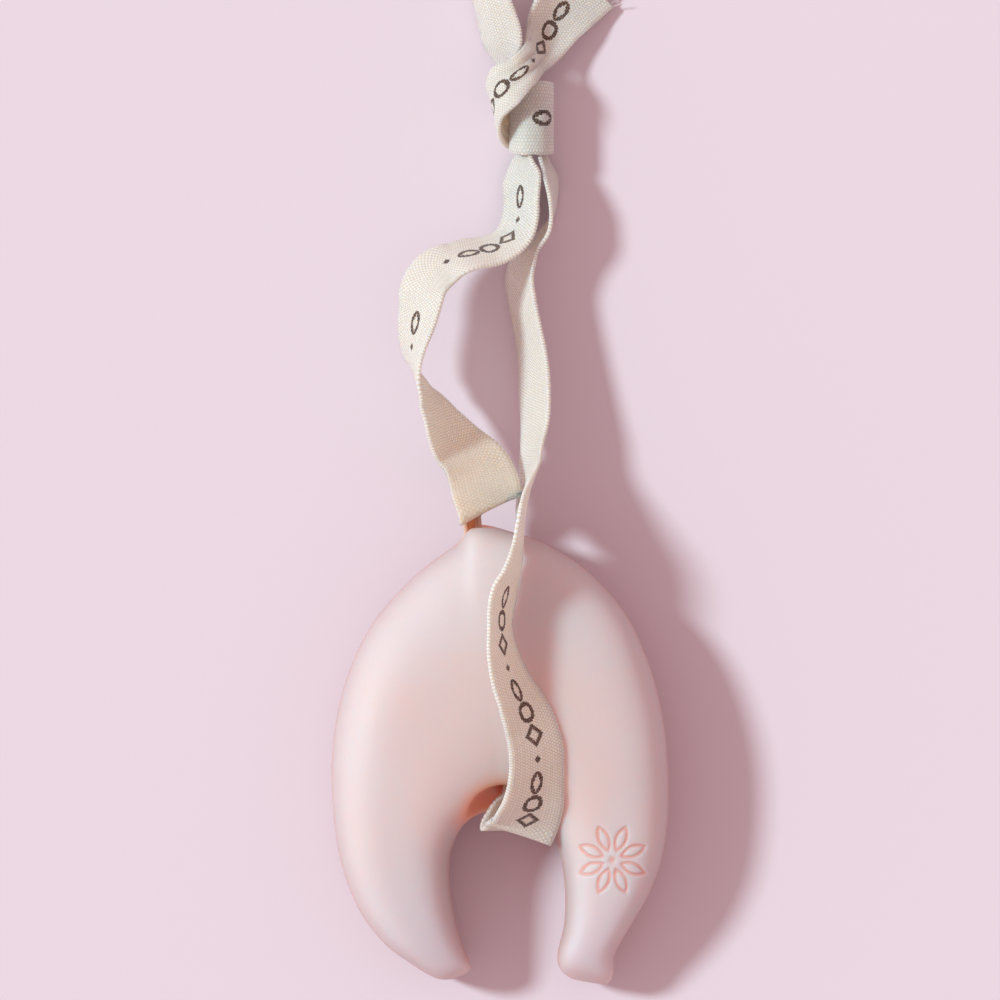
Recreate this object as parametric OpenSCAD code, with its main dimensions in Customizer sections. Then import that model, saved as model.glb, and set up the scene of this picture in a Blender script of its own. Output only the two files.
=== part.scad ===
// A poured bar of soap shaped like a fat horseshoe, hung on one length of woven cotton tape.
// The tape runs through a channel in the bridge, comes back over the front and is knotted to itself.
// Millimetres, +Z up. The bar lies on its flat underside and its two legs point to -Y.
// The origin is on the flat underside, below the middle of the bridge.

/* [Bar] */
// Width of the bar across both legs
bar_w = 73; // [64:1:84]
// Length of the bar from the crown of the bridge to the leg tips
bar_l = 100; // [88:1:114]
// Thickness of the bar at the middle of its bridge
bar_t = 29; // [25:0.5:34]
// How far the pillowed underside is cut flat by the open side of the mould
flat_cut = 1.5; // [0.8:0.1:2.5]
// Squareness of the bar's cross-section, where 2 is an ellipse
section_power = 2.9; // [2.4:0.1:3.4]

/* [Channel] */
// Diameter of the channel that the tape runs through
channel_d = 6.8; // [6.6:0.1:8.4]

/* [Engraved flower] */
// Radius of the engraved flower on the right leg
flower_r = 8.2; // [6:0.1:9]
// Width of its engraved lines
groove_w = 0.8; // [0.5:0.1:1.2]
// Depth of its engraved lines
groove_depth = 0.6; // [0.3:0.1:1]

/* [Tape] */
// Width of the tape
tape_w = 15; // [13:0.5:16]
// Thickness of the tape
tape_t = 0.8; // [0.5:0.1:1]
// Distance from the crown of the bridge to the middle of the knot
loop_l = 89; // [85:1:100]

/* [Hidden] */

// The outline and the route below are drawn for a bar of this width and length, with its crown at
// this y and with this distance from its crown to the knot
drawn_w = 73.1;
drawn_l = 100.2;
drawn_crown = 50;
drawn_loop = 89;
fit = [bar_w / drawn_w, bar_l / drawn_l];
// Where the middle of the bridge lies, and how far the crown and the knot lie beyond the drawn ones
bridge_y = 20 * fit.y;
crown_shift = drawn_crown * (fit.y - 1);
loop_shift = loop_l - drawn_loop;

// Sections of the bar from the left tip round the bridge to the right tip:
// outer x, outer y, inner x, inner y, height of its top, height of its lowest point
SECTIONS = [
    [-11.5, -49.0, -7.4, -47.4, -18, 8.5],
    [-14.4, -48.7, -6.9, -45.9, -13, 4.5],
    [-19.3, -45.9, -8.2, -43.0, -9.5, 2.1],
    [-25.8, -41.0, -10.1, -37.2, -6, 0.7],
    [-31.2, -33.6, -11.4, -29.6, -3.5, 0.3],
    [-35.2, -22.9, -11.4, -21.6, -1.8, 0.1],
    [-37.0, -9.5, -9.2, -16.2, -0.8, 0],
    [-36.7, 4.0, -6.9, -13.8, -0.2, 0],
    [-33.7, 17.2, -4.7, -12.7, 0, 0],
    [-27.7, 29.4, -3.0, -12.2, 0, 0],
    [-18.2, 39.6, -1.9, -11.9, 0, 0],
    [-10.2, 45.6, -1.2, -11.7, 0, 0],
    [-6.5, 50.1, -0.6, -11.5, 0, 0],
    [1.6, 48.4, 0.6, -10.9, 0, 0],
    [9.0, 45.8, 2.0, -10.0, 0, 0],
    [18.4, 39.8, 3.8, -9.3, 0, 0],
    [27.0, 30.0, 5.6, -9.2, 0, 0],
    [32.4, 17.6, 7.5, -10.3, -0.2, 0],
    [35.3, 4.5, 9.4, -12.8, -0.8, 0],
    [36.0, -9.0, 11.1, -17.2, -2, 0],
    [35.0, -20.0, 12.7, -23.2, -3.4, 0.1],
    [32.0, -29.4, 13.5, -30.6, -5, 0.3],
    [27.8, -37.0, 13.2, -37.6, -7, 0.6],
    [24.3, -43.3, 11.9, -43.0, -9.5, 1.3],
    [24.1, -47.6, 12.3, -46.4, -13, 4.5],
    [22.8, -50.2, 14.8, -48.8, -18, 8.5],
];
// Steps between two drawn sections, and points round each section
section_steps = 3;
section_points = 40;
// The sections that make up the right leg
right_leg = [for (i = [17 : 23]) SECTIONS[i]];

// The channel's height at its crown end, and the places where its axis starts above the bridge and
// ends in the notch, with how far it rises to there
channel_z = bar_t / 2;
channel_top = [-7.8, 58];
channel_foot = [3.8, -16];
channel_rise = 5;
// Middle and radius of the scoop above the channel's foot, and its height above the crown end
scoop_at = [-0.5, -13.5];
scoop_r = 7.4;
scoop_rise = 8;

// Middle of the engraved flower, its number of petals, and its eye and petals as shares of its radius
flower_at = [23.6, -22.5];
petals = 8;
petal_start = 0.2;
eye_share = 0.12;
petal_half_share = 0.19;

// Steps between two drawn stations of the tape, and flat spans across its width
tape_steps = 2;
tape_spans = 6;
// How tightly a lengthwise fold turns, as a share of half the width
fold_turn = 0.3;

function pick(list, i) = list[max(0, min(len(list) - 1, i))];
function curve(a, b, c, d, t) =
    0.5 * (2 * b + (c - a) * t + (2 * a - 5 * b + 4 * c - d) * t * t
        + (3 * b - a - 3 * c + d) * t * t * t);
function along(list, i, t) =
    curve(pick(list, i - 1), pick(list, i), pick(list, i + 1), pick(list, i + 2), t);
function smooth(list, steps) = [
    for (i = [0 : len(list) - 2], k = [0 : steps - 1]) along(list, i, k / steps),
    list[len(list) - 1]
];
function unit(v) = v / norm(v);
function signed_power(v, p) = sign(v) * pow(abs(v), p);

// One closed section of the bar, standing on the line from its inner to its outer point
function bar_ring(row) =
    let (
        outer = [row[0] * fit.x, row[1] * fit.y],
        inner = [row[2] * fit.x, row[3] * fit.y],
        top = bar_t + row[4],
        low = row[5] - flat_cut,
        middle = (outer + inner) / 2,
        reach = (outer - inner) / 2,
        power = 2 / section_power
    ) [
        for (j = [0 : section_points - 1])
            let (
                angle = -360 * j / section_points,
                side = signed_power(cos(angle), power),
                rise = signed_power(sin(angle), power)
            )
            [middle.x + reach.x * side, middle.y + reach.y * side, (top + low) / 2 + (top - low) / 2 * rise]
    ];

// A closed skin over rings of equal length, from the first ring to the last
module skin(rings) {
    count = len(rings[0]);
    last = len(rings) - 1;
    polyhedron(
        points = [for (ring = rings) each ring],
        faces = [
            for (i = [0 : last - 1], j = [0 : count - 1])
                let (a = i * count + j, b = i * count + (j + 1) % count) each
                [[a, b, b + count], [a, b + count, a + count]],
            [for (j = [count - 1 : -1 : 0]) j],
            [for (j = [0 : count - 1]) last * count + j],
        ],
        convexity = 10
    );
}

module bar_form() {
    skin([for (row = smooth(SECTIONS, section_steps)) bar_ring(row)]);
}

// The slightly slanting channel through the bridge
module channel() {
    run = [channel_foot.x - channel_top.x, channel_foot.y - channel_top.y, channel_rise];
    translate([channel_top.x, channel_top.y + crown_shift, channel_z])
        rotate([0, acos(run.z / norm(run)), atan2(run.y, run.x)])
            cylinder(d = channel_d, h = norm(run) + crown_shift, $fn = 48);
}

// The scoop that opens the channel's foot upwards
module scoop() {
    translate([scoop_at.x * fit.x, scoop_at.y * fit.y, channel_z + scoop_rise]) sphere(r = scoop_r, $fn = 64);
}

// The leaf shape between two equal arcs, lying along x
module leaf(half_length, half_width, inset) {
    arc_r = (half_length * half_length + half_width * half_width) / (2 * half_width);
    intersection_for(side = [-1, 1])
        translate([0, side * (arc_r - half_width)]) circle(r = arc_r - inset, $fn = 64);
}

// Height of the right leg's surface over a place in plan
function leg_height(x, y) =
    let (
        outer = fit.x * lookup(y / fit.y, [for (row = right_leg) [row[1], row[0]]]),
        inner = fit.x * lookup(y / fit.y, [for (row = right_leg) [row[3], row[2]]]),
        top = bar_t + lookup(y / fit.y, [for (row = right_leg) [(row[1] + row[3]) / 2, row[4]]]),
        share = abs(2 * x - outer - inner) / (outer - inner),
        middle = (top - flat_cut) / 2
    )
    middle + (top - middle) * pow(1 - pow(share, section_power), 1 / section_power);

// Stands a flat shape on the leg at a place in plan, sunk by the groove's depth along the surface's normal
module sunk_into_leg(x, y) {
    slope_x = (leg_height(x + 1, y) - leg_height(x - 1, y)) / 2;
    slope_y = (leg_height(x, y + 1) - leg_height(x, y - 1)) / 2;
    normal = [-slope_x, -slope_y, 1];
    translate([x, y, leg_height(x, y)])
        rotate(a = atan2(norm([slope_x, slope_y]), 1), v = cross([0, 0, 1], normal))
            translate([0, 0, -groove_depth]) linear_extrude(2 * groove_depth + 1) children();
}

// Leaf-shaped petal outlines round a small eye
module flower_cut() {
    half_length = flower_r * (1 - petal_start) / 2;
    half_width = flower_r * petal_half_share;
    middle = [flower_at.x * fit.x, flower_at.y * fit.y];
    sunk_into_leg(middle.x, middle.y) circle(r = flower_r * eye_share, $fn = 32);
    for (i = [0 : petals - 1])
        let (turn = 360 * (i + 0.5) / petals, out = flower_r - half_length)
            sunk_into_leg(middle.x + out * cos(turn), middle.y + out * sin(turn))
                rotate(turn)
                    difference() {
                        leaf(half_length, half_width, 0);
                        leaf(half_length, half_width, groove_w);
                    }
}

// The bar, cut flat below its rest plane
module soap_bar() {
    color([0.95, 0.83, 0.83])
        difference() {
            bar_form();
            translate([-bar_w, -bar_l, -bar_t]) cube([2 * bar_w, 2 * bar_l, bar_t]);
            channel();
            scoop();
            flower_cut();
        }
}

// The tape's route, from the end of the left tail to the end of the right one. Each station gives
// the plan place of its middle, the height of its lower selvedge, the azimuth and lean of the line
// across it, its lengthwise fold, and its width as a share of the full width.
LEFT_TAIL = [
    [-4.5, 168, 1.6, 17, 58, -40, 1],
    [-3, 162.5, 1.6, 17, 58, -40, 1],
    [-0.8, 155.5, 1.4, 15, 56, -30, 1],
    [1.3, 150.3, 2.4, 10, 65, 0, 0.72],
    [4.2, 146.5, 4.4, 5, 75, 0, 0.55],
    [5.1, 142, 4, 0, 80, 0, 0.55],
    [5.1, 137, 4, 0, 80, 0, 0.55],
    [4.9, 132, 3.6, 0, 78, 0, 0.6],
];
LEFT_STRAND = [
    [4.2, 128.5, 2.6, 0, 68, 0, 0.8],
    [4.1, 125, 2, 0, 60, 0, 1],
    [4, 120, 2.6, 0, 62, 0, 1],
    [3.4, 115.5, 3.6, -5, 60, 0, 1],
    [1.5, 112, 5, -25, 60, 0, 1],
    [-2.6, 109.5, 7.2, -55, 62, 0, 1],
    [-9, 107.8, 10.4, -62, 62, 0, 1],
    [-13.9, 105.4, 12.4, -48, 48, 0, 0.93],
    [-16.8, 101.8, 13.8, -22, 45, 0, 0.9],
    [-17.9, 97.2, 14.4, -3, 49, 0, 0.9],
    [-18.9, 92, 13.8, 0, 57, 0, 0.9],
    [-19.4, 87.3, 12.8, 0, 71, 0, 0.93],
    [-18.8, 82.3, 11.4, 0, 88, 0, 1],
    [-17.4, 78.6, 10, 200, 80, 0, 1],
    [-15.8, 75.5, 9, 205, 72, 0, 1],
    [-12.9, 70.8, 7.6, 215, 55, 0, 1],
    [-9.8, 67, 7.8, 218, 41, 0, 1],
    [-6, 63.6, 9.6, 218, 34, 0, 1],
    [-4.4, 60.2, 12.4, 216, 26, 0, 1],
    [-3.5, 56.7, 16, 209, 19, 0, 1],
];
TOP_MOUTH = [
    [-2.8, 54.1, 2.9, 207, 14, 0, 1],
    [-2.8, 53.5, 2.3, 207, 8, -10, 1],
    [-3.8, 54.9, 1, 206, 0, -60, 0.85],
    [-5.6, 54.8, -0.6, 200, 0, -125, 0.65],
    [-6.7, 52.6, -0.4, 192, 0, -160, 0.56],
    [-6.6, 49.8, 0.1, 190, 0, -165, 0.55],
    [-6.1, 46.8, 0.7, 190, 0, -165, 0.55],
    [-4.8, 39, 1.3, 190, 0, -165, 0.55],
];
CHANNEL_RUN = [
    [-3.4, 30, 1.9, 190, 0, -165, 0.55],
    [-2, 21, 2.5, 190, 0, -165, 0.55],
    [-0.4, 11, 3.2, 190, 0, -165, 0.55],
    [1.1, 1, 3.8, 190, 0, -165, 0.55],
];
FOOT_MOUTH = [
    [2.1, -5, 4.3, 188, 0, -160, 0.55],
    [2.4, -8.8, 4.6, 182, 0, -140, 0.62],
    [1.8, -11.8, 4.7, 175, 0, -90, 0.78],
    [1.9, -14.5, 4.7, 168, 0, -35, 0.97],
    [2.7, -16.2, 5.8, 163, 4, 0, 1],
    [3.6, -16.6, 7.8, 163, 11, 0, 1],
];
FRONT = [
    [4.8, -14.6, -6.4, 170, 22, 0, 1],
    [6.3, -9.8, -2.6, 173, 35, 0, 1],
    [7.1, -4.3, -0.7, 177, 41, 0, 1],
    [7.1, 1.3, 0.4, 180, 41, 0, 1],
    [5.9, 6.5, 0.6, 170, 41, 0, 1],
    [3.9, 11.4, 0.7, 166, 46, 0, 1],
    [1.6, 16.5, 0.6, 172, 56, 0, 1],
    [0, 22, 0.5, 178, 65, 0, 1],
    [-0.6, 27.5, 0.3, 180, 71, 0, 1],
    [-0.4, 32, 0.2, 180, 70, 0, 1],
    [0.4, 35.5, 0, 182, 69, 0, 1],
    [1.7, 38.7, -0.8, 180, 75, 0, 1],
    [2.8, 42.4, -2, 180, 80, 0, 1],
    [3.7, 47.5, -4, 180, 84, 0, 1],
];
RIGHT_STRAND = [
    [4.6, 52.8, 18.4, 180, 89, 0, 1],
    [5.6, 59.3, 10, 0, 80, 0, 1],
    [6.3, 65.6, 6, 0, 75, 0, 1],
    [7, 72, 4.2, 0, 69, 0, 1],
    [6.9, 79, 2.4, 0, 66, 0, 1],
    [6.4, 85.5, 1.4, 0, 66, 0, 1],
    [5.4, 92, 1, 0, 68, 0, 1],
    [4.1, 98.5, 1, 0, 68, 0, 1],
    [3.6, 103.8, 1, 0, 68, 0, 1],
    [5.3, 108.9, 1, 0, 71, 0, 1],
    [8.9, 113.2, 0.8, 0, 81, 0, 1],
    [10.6, 117.5, 0.6, 180, 88, 0, 1],
    [10.8, 121.5, 0.6, 180, 83, 0, 1],
    [10.2, 125.6, 1.6, 180, 78, 0, 0.87],
    [8.8, 129, 3, 180, 80, 0, 0.67],
];
KNOT = [
    [7.6, 133, 4, 180, 82, 0, 0.53],
    [7.6, 137, 4.4, 180, 86, 0, 0.48],
    [7.9, 140.8, 4.6, 90, 53, 0, 0.47],
    [7.4, 143, 4.4, 95, 10, 0, 0.47],
    [5.5, 142.8, 2.8, 100, 0, 0, 0.47],
    [2.9, 141.3, 3.4, 100, 0, 0, 0.6],
    [1.7, 139.4, 6.6, 95, 0, 0, 0.8],
    [2.2, 138.3, 10.4, 90, 0, 0, 1],
    [4, 138, 13, 90, 0, 0, 1.06],
    [6.3, 138, 13.7, 90, 0, 0, 1.06],
    [8.7, 138, 12.9, 90, 0, 0, 1.06],
    [10.4, 138, 10, 90, 0, 0, 1.03],
    [10.4, 137.9, 6.6, 90, 0, 0, 1],
    [9.4, 137.4, 3.4, 90, 0, 0, 0.93],
    [6.8, 136.6, 1.4, 95, 0, 0, 0.75],
    [4, 135.8, 1.2, 95, 0, 0, 0.6],
    [1.7, 135.8, 2.8, 92, -5, 0, 0.57],
    [0.1, 136.2, 4.7, 90, -24, 0, 0.57],
    [-1.5, 138.7, 7.6, 98, -40, 0, 0.67],
    [-1.7, 141.9, 10.2, 116, -44, 0, 0.73],
    [0.6, 145, 13, 134, -32, 0, 0.73],
    [4.2, 147.9, 14.7, 134, -10, 0, 0.5],
];
RIGHT_TAIL = [
    [6.8, 151.1, 8.8, 145, 36, 0, 0.5],
    [9, 155, 5.4, 138, 16, 40, 0.73],
    [11.7, 160, 3.6, 139, 14, 50, 0.93],
    [15.1, 164.3, 2.2, 139, 12, 30, 1],
    [19.1, 168, 1.4, 139, 10, 15, 1],
];

// A station with its middle moved by a shift, over a base height
function lifted(row, shift, base) =
    let (
        width = tape_w * row[6],
        middle_z = base + row[2] + width / 2 * abs(sin(row[4]))
    )
    [
        row[0], row[1] + shift, middle_z,
        cos(row[3]) * cos(row[4]), sin(row[3]) * cos(row[4]), sin(row[4]),
        row[5], width
    ];
function run(rows, shift, base) = [for (row = rows) lifted(row, shift, base)];
// Stations on the bar keep their share of its width and length
function fitted(rows) = [
    for (row = rows) [row[0] * fit.x, row[1] * fit.y, row[2], row[3], row[4], row[5], row[6]]
];

route = [
    each run(LEFT_TAIL, crown_shift + loop_shift, 0),
    each run(LEFT_STRAND, crown_shift, 0),
    each run(TOP_MOUTH, crown_shift, channel_z),
    each run(fitted(CHANNEL_RUN), 0, channel_z),
    each run(fitted(FOOT_MOUTH), 0, channel_z),
    each run(fitted(FRONT), 0, bar_t),
    each run(RIGHT_STRAND, crown_shift, 0),
    each run(KNOT, crown_shift + loop_shift, 0),
    each run(RIGHT_TAIL, crown_shift + loop_shift, 0),
];

// Slope across the tape at a place from -1 to 1 of its half width
function fold_slope(fold, place) =
    fold / 2 * place * sqrt(1 + fold_turn * fold_turn) / sqrt(place * place + fold_turn * fold_turn);

// One closed section of the tape, round the middle of its length there
function tape_ring(rows, i) =
    let (
        row = rows[i],
        before = rows[max(0, i - 1)],
        after = rows[min(len(rows) - 1, i + 1)],
        ahead = unit([after[0] - before[0], after[1] - before[1], after[2] - before[2]]),
        lean = [row[3], row[4], row[5]],
        across = unit(lean - (lean * ahead) * ahead),
        face = cross(ahead, across),
        step = row[7] / tape_spans,
        slopes = [for (j = [0 : tape_spans]) fold_slope(row[6], 2 * j / tape_spans - 1)],
        line = [
            for (j = 0, p = [0, 0]; j <= tape_spans;
                p = p + step * [
                    cos(fold_slope(row[6], (2 * j + 1) / tape_spans - 1)),
                    sin(fold_slope(row[6], (2 * j + 1) / tape_spans - 1))
                ],
                j = j + 1) p
        ],
        centre = [for (p = line) 1] * line / (tape_spans + 1),
        place = function (j, side)
            let (p = line[j] - centre + side * tape_t / 2 * [-sin(slopes[j]), cos(slopes[j])])
            [row[0], row[1], row[2]] + across * p.x + face * p.y
    )
    [
        for (j = [0 : tape_spans]) place(j, 1),
        for (j = [tape_spans : -1 : 0]) place(j, -1)
    ];

module hanging_tape() {
    rows = smooth(route, tape_steps);
    color([0.93, 0.89, 0.85])
        skin([for (i = [0 : len(rows) - 1]) tape_ring(rows, i)]);
}

translate([0, -bridge_y, 0]) soap_bar();
translate([0, -bridge_y, 0]) hanging_tape();
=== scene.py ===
# %% [markdown]
# A bar of soap on a tape.
# The real thing is a poured bar, shaped like a fat horseshoe, with a length of woven cotton tape
# through its bridge. The tape is tied to itself, so that the bar can hang from a hook. The packed
# solids already have these forms, but as facets. This lesson gives each of the two pieces the
# surface that a hand would meet: soft satin soap, and ribbed cloth with a print.

# %% The packed frame
import math
import random

import bmesh
import bpy
import numpy as np
from mathutils import Matrix, Vector, noise


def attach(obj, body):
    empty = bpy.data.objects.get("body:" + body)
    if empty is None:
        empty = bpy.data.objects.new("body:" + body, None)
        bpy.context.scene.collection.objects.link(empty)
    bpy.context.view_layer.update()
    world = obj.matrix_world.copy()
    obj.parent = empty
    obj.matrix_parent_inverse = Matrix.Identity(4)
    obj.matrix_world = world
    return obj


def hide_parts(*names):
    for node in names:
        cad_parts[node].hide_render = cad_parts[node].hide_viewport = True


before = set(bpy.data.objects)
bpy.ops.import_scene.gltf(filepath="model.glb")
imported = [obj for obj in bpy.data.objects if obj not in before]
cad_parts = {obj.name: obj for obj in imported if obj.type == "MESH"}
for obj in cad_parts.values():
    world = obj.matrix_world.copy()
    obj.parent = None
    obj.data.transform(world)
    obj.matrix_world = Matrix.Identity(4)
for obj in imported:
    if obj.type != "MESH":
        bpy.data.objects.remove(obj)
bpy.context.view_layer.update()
MM = 0.001
random.seed(7)
print("nodes", sorted(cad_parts))

# %% [markdown]
# The camera.
# The object was photographed from straight above, and its sides don't lean outwards, so the lens
# is long and far away. A shorter lens nearer by would show the same things, but it would push the
# raised tape out of line with the bar below it.

# %% Camera
PHOTO_WIDTH = 1000
PIXELS_PER_MM = 4.62
PHOTO_MIDDLE = Vector((-0.65, 35.2, 0)) * MM
CAMERA_HEIGHT = 2.4
MIDDLE_HEIGHT = 14 * MM


def photo_camera():
    data = bpy.data.cameras.new("photo_camera")
    camera = bpy.data.objects.new("photo_camera", data)
    bpy.context.scene.collection.objects.link(camera)
    seen_width = PHOTO_WIDTH / PIXELS_PER_MM * MM
    data.sensor_width = 36
    data.lens = data.sensor_width * (CAMERA_HEIGHT - MIDDLE_HEIGHT) / seen_width
    data.clip_end = 10
    camera.location = PHOTO_MIDDLE + Vector((0, 0, CAMERA_HEIGHT))
    bpy.context.scene.camera = camera
    return camera


camera = photo_camera()
print("lens", round(camera.data.lens), "mm, seen from", CAMERA_HEIGHT, "m")

# %% [markdown]
# Light and floor.
# One fairly small studio lamp stood to the upper left at about 44 degrees, because the shadows fall
# to the right with soft edges. A sun lamp with a wide disc gives such edges everywhere alike. The
# rest is an even fill, which stands for white walls. The floor is a plain pale sheet.

# %% Light
LAMP_TRAVEL = Vector((14.5, -4.6, -15))
LAMP_DISC = 9
LAMP_STRENGTH = 2.5
LAMP_COLOUR = (0.77, 1, 1)
FILL_COLOUR = (0.62, 0.46, 0.455)


def studio_light():
    data = bpy.data.lights.new("studio_lamp", "SUN")
    lamp = bpy.data.objects.new("studio_lamp", data)
    bpy.context.scene.collection.objects.link(lamp)
    data.energy = LAMP_STRENGTH
    data.angle = math.radians(LAMP_DISC)
    data.color = LAMP_COLOUR
    lamp.rotation_euler = LAMP_TRAVEL.to_track_quat("-Z", "Y").to_euler()
    world = bpy.data.worlds.new("fill")
    world.use_nodes = True
    fill = world.node_tree.nodes["Background"]
    fill.inputs["Color"].default_value = (*FILL_COLOUR, 1)
    fill.inputs["Strength"].default_value = 1
    bpy.context.scene.world = world
    return lamp


lamp = studio_light()
bpy.context.scene.view_settings.view_transform = "Standard"
print("lamp elevation", round(math.degrees(math.asin(-LAMP_TRAVEL.normalized().z))), "degrees")

# %% [markdown]
# Shader maths in Python.
# A procedural finish is a formula, and a formula reads best as one. A small class wraps a socket
# and gives it the arithmetic signs, and each sign adds its Math node. Every other node comes from
# one method, which sets what the node is before it fills the sockets.

# %% A value on a surface
class Value:
    """One number that varies over a surface."""

    def __init__(self, shader, socket):
        self.shader = shader
        self.socket = socket

    def worked_out(self, operation, values):
        made = self.shader.node("ShaderNodeMath", {"operation": operation}, dict(enumerate(values)))
        return Value(self.shader, made.outputs[0])

    def math(self, operation, *others):
        return self.worked_out(operation, (self, *others))

    def reflected(self, operation, other):
        return self.worked_out(operation, (other, self))

    def __add__(self, other):
        return self.math("ADD", other)

    def __radd__(self, other):
        return self.math("ADD", other)

    def __sub__(self, other):
        return self.math("SUBTRACT", other)

    def __rsub__(self, other):
        return self.reflected("SUBTRACT", other)

    def __mul__(self, other):
        return self.math("MULTIPLY", other)

    def __rmul__(self, other):
        return self.math("MULTIPLY", other)

    def __truediv__(self, other):
        return self.math("DIVIDE", other)

    def between(self, low, high):
        """0 at low, 1 at high, and a soft step in between."""
        made = self.shader.node(
            "ShaderNodeMapRange",
            {"interpolation_type": "SMOOTHSTEP"},
            {"Value": self, "From Min": low, "From Max": high},
        )
        return Value(self.shader, made.outputs["Result"])


print("a value takes", [sign for sign in "+-*/"], "and a soft step")

# %% A material under construction
class Shader:
    """A new material, with its Principled shader."""

    def __init__(self, name, **constants):
        self.material = bpy.data.materials.new(name)
        self.material.use_nodes = True
        self.tree = self.material.node_tree
        self.surface = self.tree.nodes["Principled BSDF"]
        for socket, value in constants.items():
            self.surface.inputs[socket.replace("_", " ")].default_value = value

    def node(self, kind, settings=None, sockets=None):
        made = self.tree.nodes.new(kind)
        for name, value in (settings or {}).items():
            setattr(made, name, value)
        for name, value in (sockets or {}).items():
            self.fill(made.inputs[name], value)
        return made

    def fill(self, socket, value):
        if isinstance(value, Value):
            value = value.socket
        if isinstance(value, bpy.types.NodeSocket):
            self.tree.links.new(value, socket)
        else:
            socket.default_value = value

    def set(self, name, value):
        self.fill(self.surface.inputs[name], value)

    def place(self):
        return self.node("ShaderNodeTexCoord").outputs["Object"]

    def attribute(self, name):
        return Value(self, self.node("ShaderNodeAttribute", {"attribute_name": name}).outputs["Fac"])

    def noise(self, where, scale, detail):
        sockets = {"Vector": where, "Scale": scale, "Detail": detail}
        return Value(self, self.node("ShaderNodeTexNoise", {}, sockets).outputs["Fac"])

    def stretched(self, where, scale):
        made = self.node("ShaderNodeMapping", {}, {"Vector": where, "Scale": scale})
        return made.outputs["Vector"]

    def mix(self, share, first, second):
        sockets = {"Factor": share, 6: (*first, 1) if isinstance(first, tuple) else first}
        sockets[7] = (*second, 1) if isinstance(second, tuple) else second
        return self.node("ShaderNodeMix", {"data_type": "RGBA"}, sockets).outputs[2]

    def bump(self, height, distance, strength):
        sockets = {"Height": height, "Distance": distance, "Strength": strength}
        self.set("Normal", self.node("ShaderNodeBump", {}, sockets).outputs["Normal"])


print("a material gives", [name for name in vars(Shader) if not name.startswith("_")])

# %% [markdown]
# The floor.
# The object lies on something plain and pale. A single flat face with one colour is enough: its tint
# decides how the shadows look, and anything more would draw the eye away from the soap.

# %% Floor
FLOOR_SIDE = 3
FLOOR_COLOUR = (0.79, 0.67, 0.75)


def pale_floor():
    bm = bmesh.new()
    bmesh.ops.create_grid(bm, x_segments=1, y_segments=1, size=FLOOR_SIDE / 2)
    mesh = bpy.data.meshes.new("floor")
    bm.to_mesh(mesh)
    bm.free()
    floor = bpy.data.objects.new("floor", mesh)
    bpy.context.scene.collection.objects.link(floor)
    shader = Shader("floor", Base_Color=(*FLOOR_COLOUR, 1), Roughness=0.6)
    mesh.materials.append(shader.material)
    return floor


floor = pale_floor()
print("floor", [round(side, 1) for side in floor.dimensions])

# %% [markdown]
# The drawn lines.
# Both pieces are swept along drawn lines. The bar has a section at each of its rows, and
# the tape a station. A smooth curve through the rows, the kind that passes each of them and takes
# its direction from the two neighbours, gives as many steps in between as the surface needs.

# %% Curves through rows
def through(rows, places):
    """The rows' numbers at places from 0 to the last row's index."""
    rows = np.asarray(rows, float)
    last = len(rows) - 1
    start = np.clip(places.astype(int), 0, last - 1)
    t = (places - start)[:, None]
    a = rows[np.maximum(start - 1, 0)]
    b = rows[start]
    c = rows[start + 1]
    d = rows[np.minimum(start + 2, last)]
    rising = (2 * a - 5 * b + 4 * c - d) * t**2
    return 0.5 * (2 * b + (c - a) * t + rising + (3 * b - a - 3 * c + d) * t**3)


def unit(vectors):
    return vectors / np.linalg.norm(vectors, axis=-1, keepdims=True)


# %% Sections of the bar
BAR_THICK = 29
FLAT_CUT = 1.5
SECTION_POWER = 2.9
FIT_X = 73 / 73.1
FIT_Y = 100 / 100.2
BRIDGE_Y = 20 * FIT_Y
CROWN_SHIFT = 50 * (FIT_Y - 1)
# outer x, outer y, inner x, inner y, height of the top from the thickest one, lowest height
SECTIONS = [
    (-11.5, -49.0, -7.4, -47.4, -18, 8.5),
    (-14.4, -48.7, -6.9, -45.9, -13, 4.5),
    (-19.3, -45.9, -8.2, -43.0, -9.5, 2.1),
    (-25.8, -41.0, -10.1, -37.2, -6, 0.7),
    (-31.2, -33.6, -11.4, -29.6, -3.5, 0.3),
    (-35.2, -22.9, -11.4, -21.6, -1.8, 0.1),
    (-37.0, -9.5, -9.2, -16.2, -0.8, 0),
    (-36.7, 4.0, -6.9, -13.8, -0.2, 0),
    (-33.7, 17.2, -4.7, -12.7, 0, 0),
    (-27.7, 29.4, -3.0, -12.2, 0, 0),
    (-18.2, 39.6, -1.9, -11.9, 0, 0),
    (-10.2, 45.6, -1.2, -11.7, 0, 0),
    (-6.5, 50.1, -0.6, -11.5, 0, 0),
    (1.6, 48.4, 0.6, -10.9, 0, 0),
    (9.0, 45.8, 2.0, -10.0, 0, 0),
    (18.4, 39.8, 3.8, -9.3, 0, 0),
    (27.0, 30.0, 5.6, -9.2, 0, 0),
    (32.4, 17.6, 7.5, -10.3, -0.2, 0),
    (35.3, 4.5, 9.4, -12.8, -0.8, 0),
    (36.0, -9.0, 11.1, -17.2, -2, 0),
    (35.0, -20.0, 12.7, -23.2, -3.4, 0.1),
    (32.0, -29.4, 13.5, -30.6, -5, 0.3),
    (27.8, -37.0, 13.2, -37.6, -7, 0.6),
    (24.3, -43.3, 11.9, -43.0, -9.5, 1.3),
    (24.1, -47.6, 12.3, -46.4, -13, 4.5),
    (22.8, -50.2, 14.8, -48.8, -18, 8.5),
]
print(len(SECTIONS), "sections from the left tip round the bridge to the right tip")

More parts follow.
